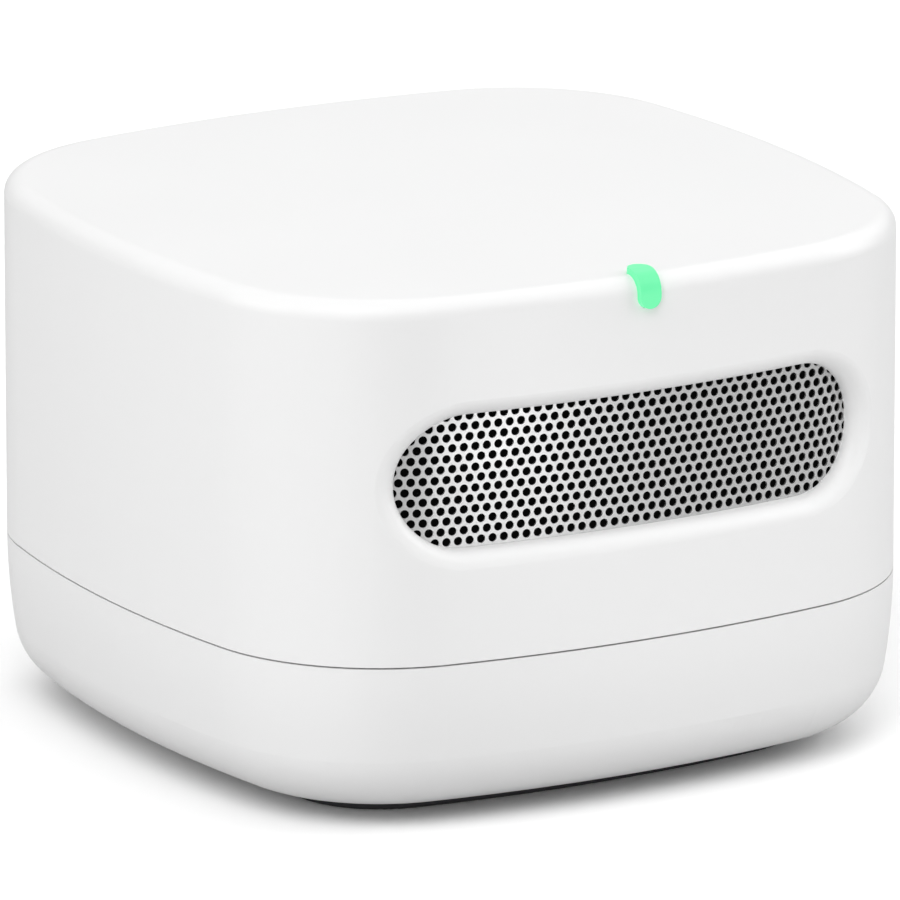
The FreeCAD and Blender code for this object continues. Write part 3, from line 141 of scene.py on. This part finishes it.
def felt(name, dark, light):
    """Black nonwoven filter cloth: crossed fibres."""
    made, tree, shader = new_material(name)
    fibres = noise(tree, coordinates(tree, (1, 1, 6)), 0.35 * MM, detail=5, roughness=0.7)
    tree.links.new(mix(tree, fibres, dark, light), shader.inputs["Base Color"])
    shader.inputs["Roughness"].default_value = 0.95
    shader.inputs["Specular IOR Level"].default_value = 0.02
    bump(tree, shader, fibres, 0.05 * MM)
    return made


def foam(name, dark, light):
    """Open-cell foam tape."""
    made, tree, shader = new_material(name)
    pores = cells(tree, coordinates(tree), 0.5 * MM)
    tree.links.new(mix(tree, pores, dark, light), shader.inputs["Base Color"])
    shader.inputs["Roughness"].default_value = 0.9
    bump(tree, shader, pores, 0.12 * MM)
    return made


def rubber(name, colour):
    """Matt silicone rubber with a faint mottled bloom."""
    made, tree, shader = new_material(name)
    vector = coordinates(tree)
    bloom = noise(tree, vector, 6 * MM)
    lighter = tuple(channel * 1.25 for channel in colour)
    tree.links.new(mix(tree, bloom, colour, lighter), shader.inputs["Base Color"])
    shader.inputs["Roughness"].default_value = 0.78
    bump(tree, shader, noise(tree, vector, 0.2 * MM), 0.006 * MM)
    return made


def circuit_board(name, mask, track):
    """Solder mask over copper tracks."""
    made, tree, shader = new_material(name)
    vector = coordinates(tree)
    tracks = add_node(tree, "ShaderNodeTexBrick", Scale=1 / (9 * MM), Mortar_Size=0.035,
                      Mortar_Smooth=0.1, Brick_Width=0.42, Row_Height=0.16)
    tree.links.new(vector, tracks.inputs["Vector"])
    tree.links.new(mix(tree, tracks.outputs["Fac"], mask, track), shader.inputs["Base Color"])
    shader.inputs["Roughness"].default_value = 0.35
    shader.inputs["Coat Weight"].default_value = 0.4
    shader.inputs["Coat Roughness"].default_value = 0.15
    bump(tree, shader, tracks.outputs["Fac"], 0.03 * MM)
    return made


def glowing(name, colour, strength, body):
    """Milky plastic lit from inside."""
    made, tree, shader = new_material(name)
    shader.inputs["Base Color"].default_value = (*body, 1)
    shader.inputs["Emission Color"].default_value = (*colour, 1)
    shader.inputs["Emission Strength"].default_value = strength
    vector = coordinates(tree)
    tree.links.new(spread(tree, noise(tree, vector, 3 * MM), 0.3, 0.4),
                   shader.inputs["Roughness"])
    bump(tree, shader, noise(tree, vector, 0.2 * MM), 0.001 * MM)
    return made


def clear(name, colour):
    """Polished clear plastic."""
    made, tree, shader = new_material(name)
    shader.inputs["Base Color"].default_value = (*colour, 1)
    shader.inputs["Transmission Weight"].default_value = 1.0
    shader.inputs["IOR"].default_value = 1.49
    tree.links.new(spread(tree, noise(tree, coordinates(tree), 2 * MM), 0.02, 0.06),
                   shader.inputs["Roughness"])
    return made


WHITE = (0.80, 0.80, 0.80)
MINT = (0.155, 0.88, 0.40)

FINISHES = {
    "shell_white": moulded("shell_white", WHITE, 0.42),
    "base_white": moulded("base_white", WHITE, 0.42),
    "button_white": moulded("button_white", (0.84, 0.84, 0.835), 0.36, grain=0.4 * MM),
    "black_plastic": moulded("black_plastic", (0.02, 0.02, 0.023), 0.45),
    "frame_black": moulded("frame_black", (0.022, 0.022, 0.025), 0.6, depth=0.006 * MM),
    "grey_plastic": moulded("grey_plastic", (0.09, 0.095, 0.105), 0.5, depth=0.004 * MM),
    "ivory_plastic": moulded("ivory_plastic", (0.72, 0.68, 0.55), 0.5),
    "cable_white": moulded("cable_white", (0.78, 0.78, 0.75), 0.48, grain=0.8 * MM),
    "steel": metal("steel", (0.56, 0.56, 0.58), 0.3),
    "brass": metal("brass", (0.75, 0.5, 0.16), 0.3),
    "gold_contact": metal("gold_contact", (0.85, 0.58, 0.16), 0.22, stretch=(12, 1, 1)),
    "can_metal": metal("can_metal", (0.62, 0.62, 0.62), 0.34, stretch=(8, 1, 1)),
    "grille_paint": painted_sheet("grille_paint", (0.58, 0.58, 0.58)),
    "filter_black": felt("filter_black", (0.0008, 0.0008, 0.0008), (0.003, 0.003, 0.003)),
    "foam_grey": foam("foam_grey", (0.008, 0.008, 0.009), (0.03, 0.03, 0.032)),
    "foot_rubber": rubber("foot_rubber", (0.035, 0.035, 0.038)),
    "board_green": circuit_board("board_green", (0.006, 0.09, 0.03), (0.02, 0.16, 0.06)),
    "pipe_lit": glowing("pipe_lit", MINT, 1.0, (0.01, 0.05, 0.03)),
    "led_resin": glowing("led_resin", MINT, 6.0, (0.7, 0.75, 0.6)),
    "lens_glass": clear("lens_glass", (0.95, 0.97, 1.0)),
}


def dress():
    """Give every node of the frame the finish that the record names for it."""
    for part in frame["record"]["subparts"]:
        slots = frame["nodes"][part["node"]].data.materials
        slots.clear()
        slots.append(FINISHES[part["material_slot"]])


# --------------------------------------------------------------------- studio

TABLE_SIDE = 6.0
TABLE_WHITE = (0.99, 0.99, 0.99)
TABLE_BOUNCE = (0.6, 0.6, 0.6)

SUBJECT_CENTRE = Vector((0, 0, 22.5 * MM))


def table():
    """The white table top that the monitor stands on.  The camera sees
    TABLE_WHITE; light that reaches the monitor by way of it sees TABLE_BOUNCE."""
    half = TABLE_SIDE / 2
    mesh = bpy.data.meshes.new("table_top")
    mesh.from_pydata([(-half, -half, 0), (half, -half, 0), (half, half, 0), (-half, half, 0)],
                     [], [(0, 1, 2, 3)])
    top = bpy.data.objects.new("table_top", mesh)
    bpy.context.scene.collection.objects.link(top)
    made, tree, shader = new_material("table_white")
    seen = tree.nodes.new("ShaderNodeLightPath").outputs["Is Camera Ray"]
    tree.links.new(mix(tree, seen, TABLE_BOUNCE, TABLE_WHITE), shader.inputs["Base Color"])
    shader.inputs["Roughness"].default_value = 0.9
    shader.inputs["Specular IOR Level"].default_value = 0.1
    mesh.materials.append(made)


def room(strength):
    """Even white light from all around."""
    world = bpy.data.worlds.new("room")
    world.use_nodes = True
    background = world.node_tree.nodes["Background"]
    background.inputs["Color"].default_value = (1, 1, 1, 1)
    background.inputs["Strength"].default_value = strength
    bpy.context.scene.world = world


def towards(azimuth, elevation):
    """Direction from the subject; azimuth 0 is the front, 90 the right side."""
    a, e = math.radians(azimuth), math.radians(elevation)
    return Vector((math.sin(a) * math.cos(e), -math.cos(a) * math.cos(e), math.sin(e)))


def face_subject(thing, azimuth, elevation, distance):
    """Place a lamp or a camera around the subject and turn it to face it."""
    back = towards(azimuth, elevation)
    thing.location = SUBJECT_CENTRE + back * distance
    thing.rotation_mode = "QUATERNION"
    thing.rotation_quaternion = (-back).to_track_quat("-Z", "Y")


def softbox(name, azimuth, elevation, distance, width, height, power):
    """A rectangular area light that faces the subject."""
    light = bpy.data.lights.new(name, "AREA")
    light.shape = "RECTANGLE"
    light.size = width
    light.size_y = height
    light.energy = power
    lamp = bpy.data.objects.new(name, light)
    bpy.context.scene.collection.objects.link(lamp)
    face_subject(lamp, azimuth, elevation, distance)


def studio_light():
    """Large soft boxes all around, and a small card of light close to the grille
    that brightens its left end."""
    room(0.05)
    softbox("overhead", azimuth=0, elevation=89, distance=1.0, width=2.4, height=2.4, power=14.4)
    softbox("grille_card", azimuth=5, elevation=-1.5, distance=0.11, width=0.03, height=0.02,
            power=0.0091)
    softbox("front_left", azimuth=-45, elevation=50, distance=1.2, width=0.8, height=0.8,
            power=5.7)
    softbox("corner_strip", azimuth=-48, elevation=13, distance=1.0, width=0.15, height=0.46,
            power=1.5)
    softbox("left", azimuth=-100, elevation=20, distance=1.0, width=0.6, height=0.65, power=3.2)
    softbox("right", azimuth=70, elevation=21, distance=1.0, width=0.6, height=0.7, power=4.4)
    softbox("back_right", azimuth=110, elevation=35, distance=1.2, width=0.8, height=0.8,
            power=2.4)
    softbox("back", azimuth=165, elevation=25, distance=1.2, width=1.4, height=0.8, power=1.9)


# --------------------------------------------------------------------- camera

VIEW_AZIMUTH, VIEW_ELEVATION = -29.744, 15.356
VIEW_DISTANCE = 1.1402
SENSOR_WIDTH, FOCAL_LENGTH = 36.0, 550.3
SIDEWAYS_SHIFT = 0.0022
NEAREST, FURTHEST = 0.05, 20.0


def camera():
    """A long lens from the left of the front, a little above."""
    lens = bpy.data.cameras.new("camera")
    lens.sensor_width = SENSOR_WIDTH
    lens.lens = FOCAL_LENGTH
    lens.shift_x = SIDEWAYS_SHIFT
    lens.clip_start, lens.clip_end = NEAREST, FURTHEST
    made = bpy.data.objects.new("camera", lens)
    bpy.context.scene.collection.objects.link(made)
    face_subject(made, VIEW_AZIMUTH, VIEW_ELEVATION, VIEW_DISTANCE)
    bpy.context.scene.camera = made


dress()
table()
studio_light()
camera()
bpy.context.scene.view_settings.view_transform = "Standard"
